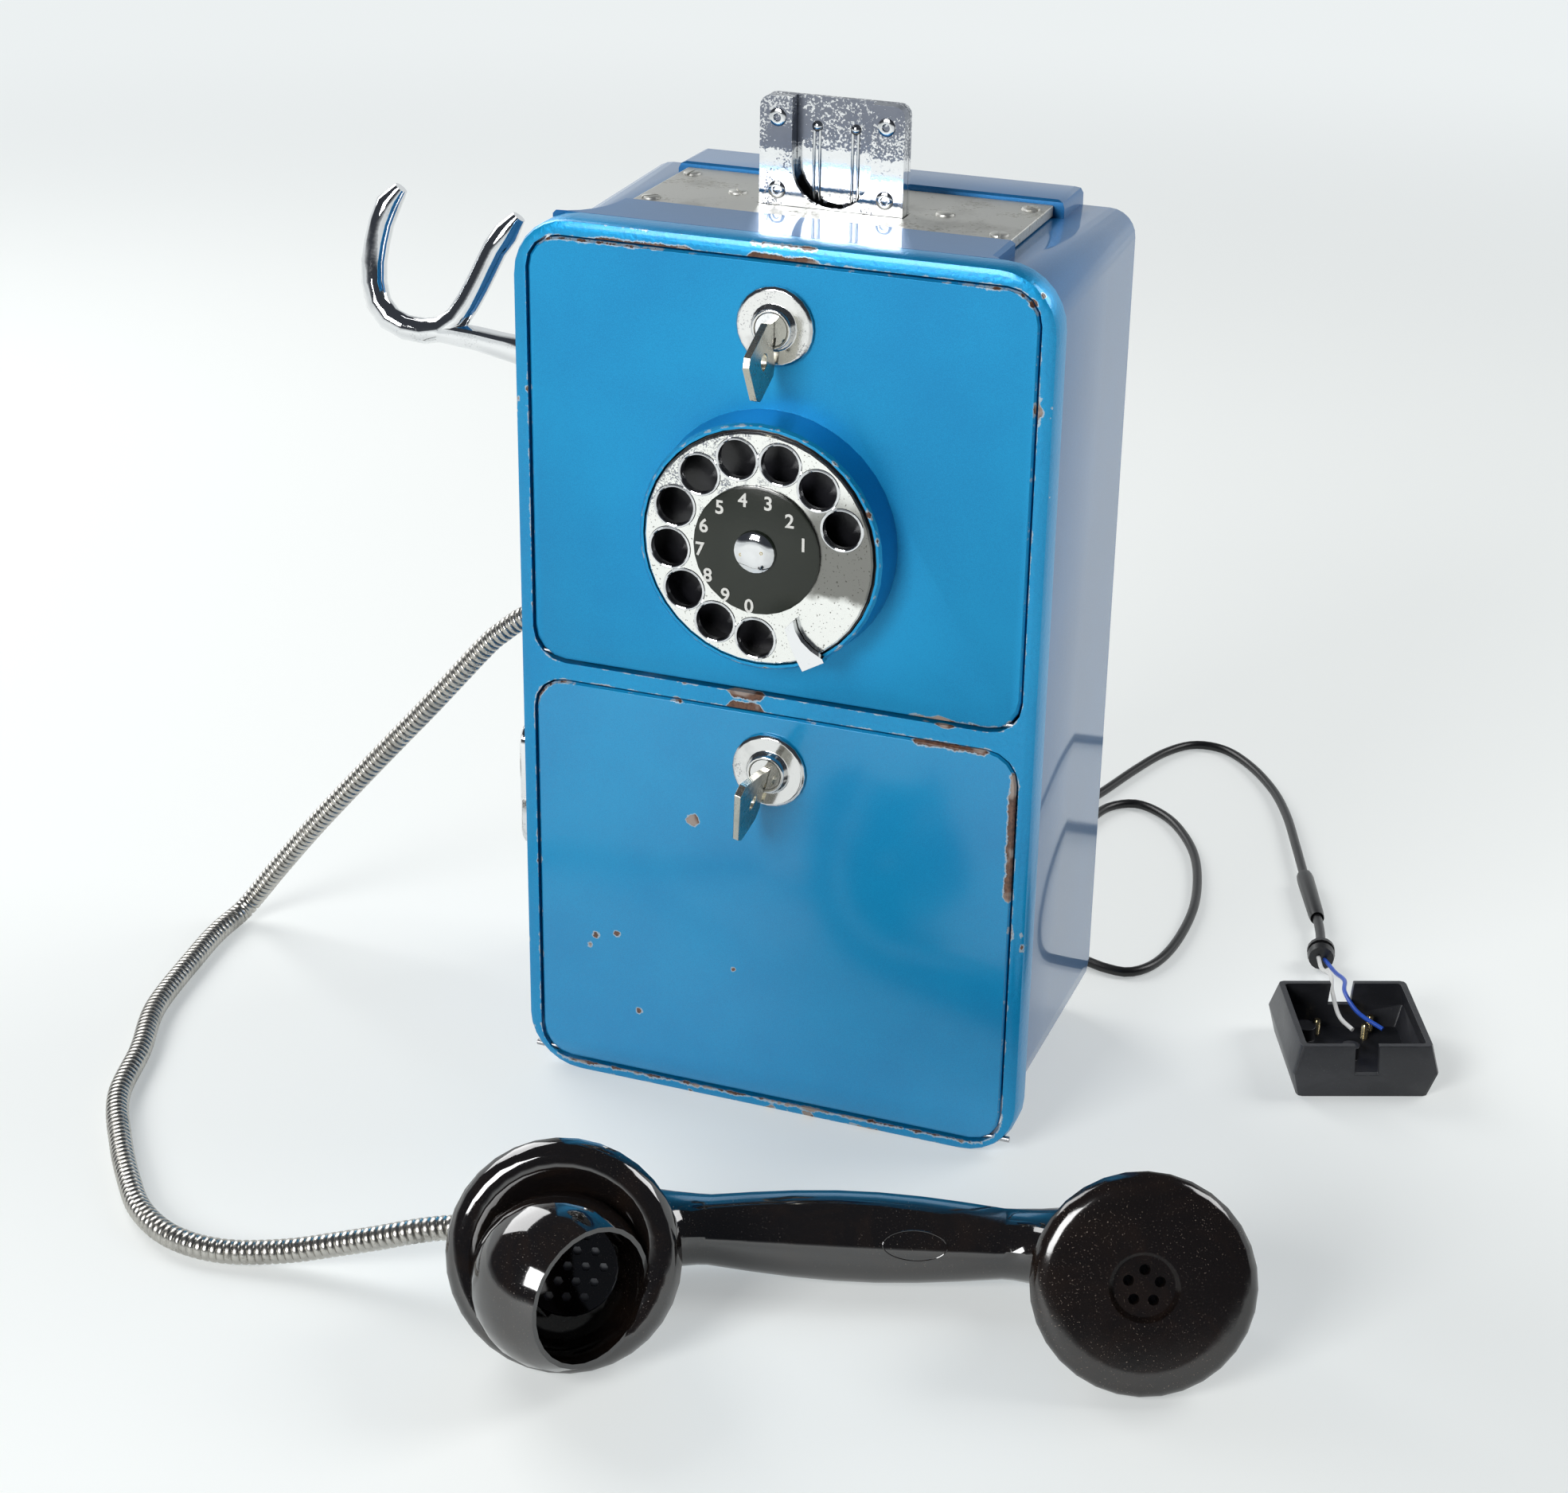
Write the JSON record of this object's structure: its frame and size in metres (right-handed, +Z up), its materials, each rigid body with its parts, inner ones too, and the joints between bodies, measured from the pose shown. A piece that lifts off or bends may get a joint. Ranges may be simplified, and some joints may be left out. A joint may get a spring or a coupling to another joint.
{
  "type": "payphone",
  "caption": "Wall payphone in a painted metal case with two doors, rotary dial, coin chute, switch hook and a handset on an armoured hose.",
  "frame": {"origin": "on the floor, under the flat underside of the front frame's bottom bar, at the middle of the phone's width", "axes": "+X to the right of the phone, +Y into its depth towards the wall, +Z up"},
  "size_m": [0.453, 0.54, 0.3375],
  "materials": {
    "blue_paint": "glossy metallic blue paint, worn at the edges",
    "chrome": "bright plating",
    "zinc": "dull grey zinc",
    "steel": "plain steel",
    "brass": "brass",
    "copper_coil": "enamelled copper winding",
    "black_plastic": "black moulding",
    "bakelite": "polished black-brown bakelite",
    "rubber": "black rubber",
    "white_wire": "white insulation",
    "blue_wire": "blue insulation"
  },
  "bodies": {
    "box": {"front_frame": "blue_paint", "housing": "blue_paint", "top_plate": "zinc", "chute_front_frame": "chrome", "chute_back_plate": "chrome", "back_plate": "steel", "mechanism_chassis": "steel", "coin_runway": "zinc", "coin_relay": "steel", "induction_coil": "copper_coil", "capacitor": "zinc", "terminal_block": "bakelite", "cash_box": "zinc", "hook_bracket": "steel", "hook_pin": "steel", "switch_stack": "bakelite", "coin_return_bezel": "chrome", "hose_gland": "chrome", "armoured_hose": "steel", "line_cord": "rubber", "cord_inlet": "rubber", "cord_sleeve": "rubber", "wall_grommet": "rubber", "white_wire": "white_wire", "blue_wire": "blue_wire", "wall_box": "black_plastic", "lower_hinge_pin_left": "steel", "lower_hinge_pin_right": "steel", "upper_hinge_pin_left": "steel", "upper_hinge_pin_right": "steel"},
    "upper_door": {"upper_door": "blue_paint", "dial_cup": "black_plastic", "dial_movement": "brass", "finger_stop": "chrome", "upper_lock_body": "chrome"},
    "finger_wheel": {"finger_wheel": "chrome", "dial_shaft": "steel", "number_card": "black_plastic", "hub_cap": "chrome"},
    "upper_key": {"upper_lock_plug": "chrome", "upper_lock_cam": "steel", "upper_key": "zinc"},
    "lower_door": {"lower_door": "blue_paint", "lower_lock_body": "chrome"},
    "lower_key": {"lower_lock_plug": "brass", "lower_lock_cam": "steel", "lower_key": "zinc"},
    "hook": {"hook_fork": "chrome"},
    "handset": {"handset_handle": "bakelite", "ear_cap": "bakelite", "mouthpiece": "bakelite", "mouth_grille": "bakelite", "receiver_capsule": "steel", "transmitter_capsule": "steel", "hose_ferrule": "steel"}
  },
  "joints": [
    {"name": "upper_door_hinge", "type": "hinge", "parent": "box", "child": "upper_door", "pos_m": [0, -0.004, 0.1574], "axis": [1, 0, 0], "range_deg": [0, 45]},
    {"name": "finger_wheel_turn", "type": "hinge", "parent": "upper_door", "child": "finger_wheel", "pos_m": [0, -0.006, 0.20985], "axis": [0, 1, 0], "range_deg": [0, 318], "stiffness_Nm_per_rad": 0.01},
    {"name": "upper_key_turn", "type": "hinge", "parent": "upper_door", "child": "upper_key", "pos_m": [0, -0.006, 0.278], "axis": [0, 1, 0], "range_deg": [-90, 0]},
    {"name": "lower_door_hinge", "type": "hinge", "parent": "box", "child": "lower_door", "pos_m": [0, -0.004, 0.0069], "axis": [1, 0, 0], "range_deg": [0, 50]},
    {"name": "lower_key_turn", "type": "hinge", "parent": "lower_door", "child": "lower_key", "pos_m": [0, -0.006, 0.1287], "axis": [0, 1, 0], "range_deg": [-90, 0]},
    {"name": "switch_hook", "type": "hinge", "parent": "box", "child": "hook", "pos_m": [-0.07, 0.046, 0.237], "axis": [0, 1, 0], "range_deg": [-8, 0], "stiffness_Nm_per_rad": 2, "springref_deg": 2.86},
    {"name": "handset_lift", "type": "slide", "parent": "box", "child": "handset", "axis": [0, 0, 1], "range_m": [0, 0.1]}
  ]
}
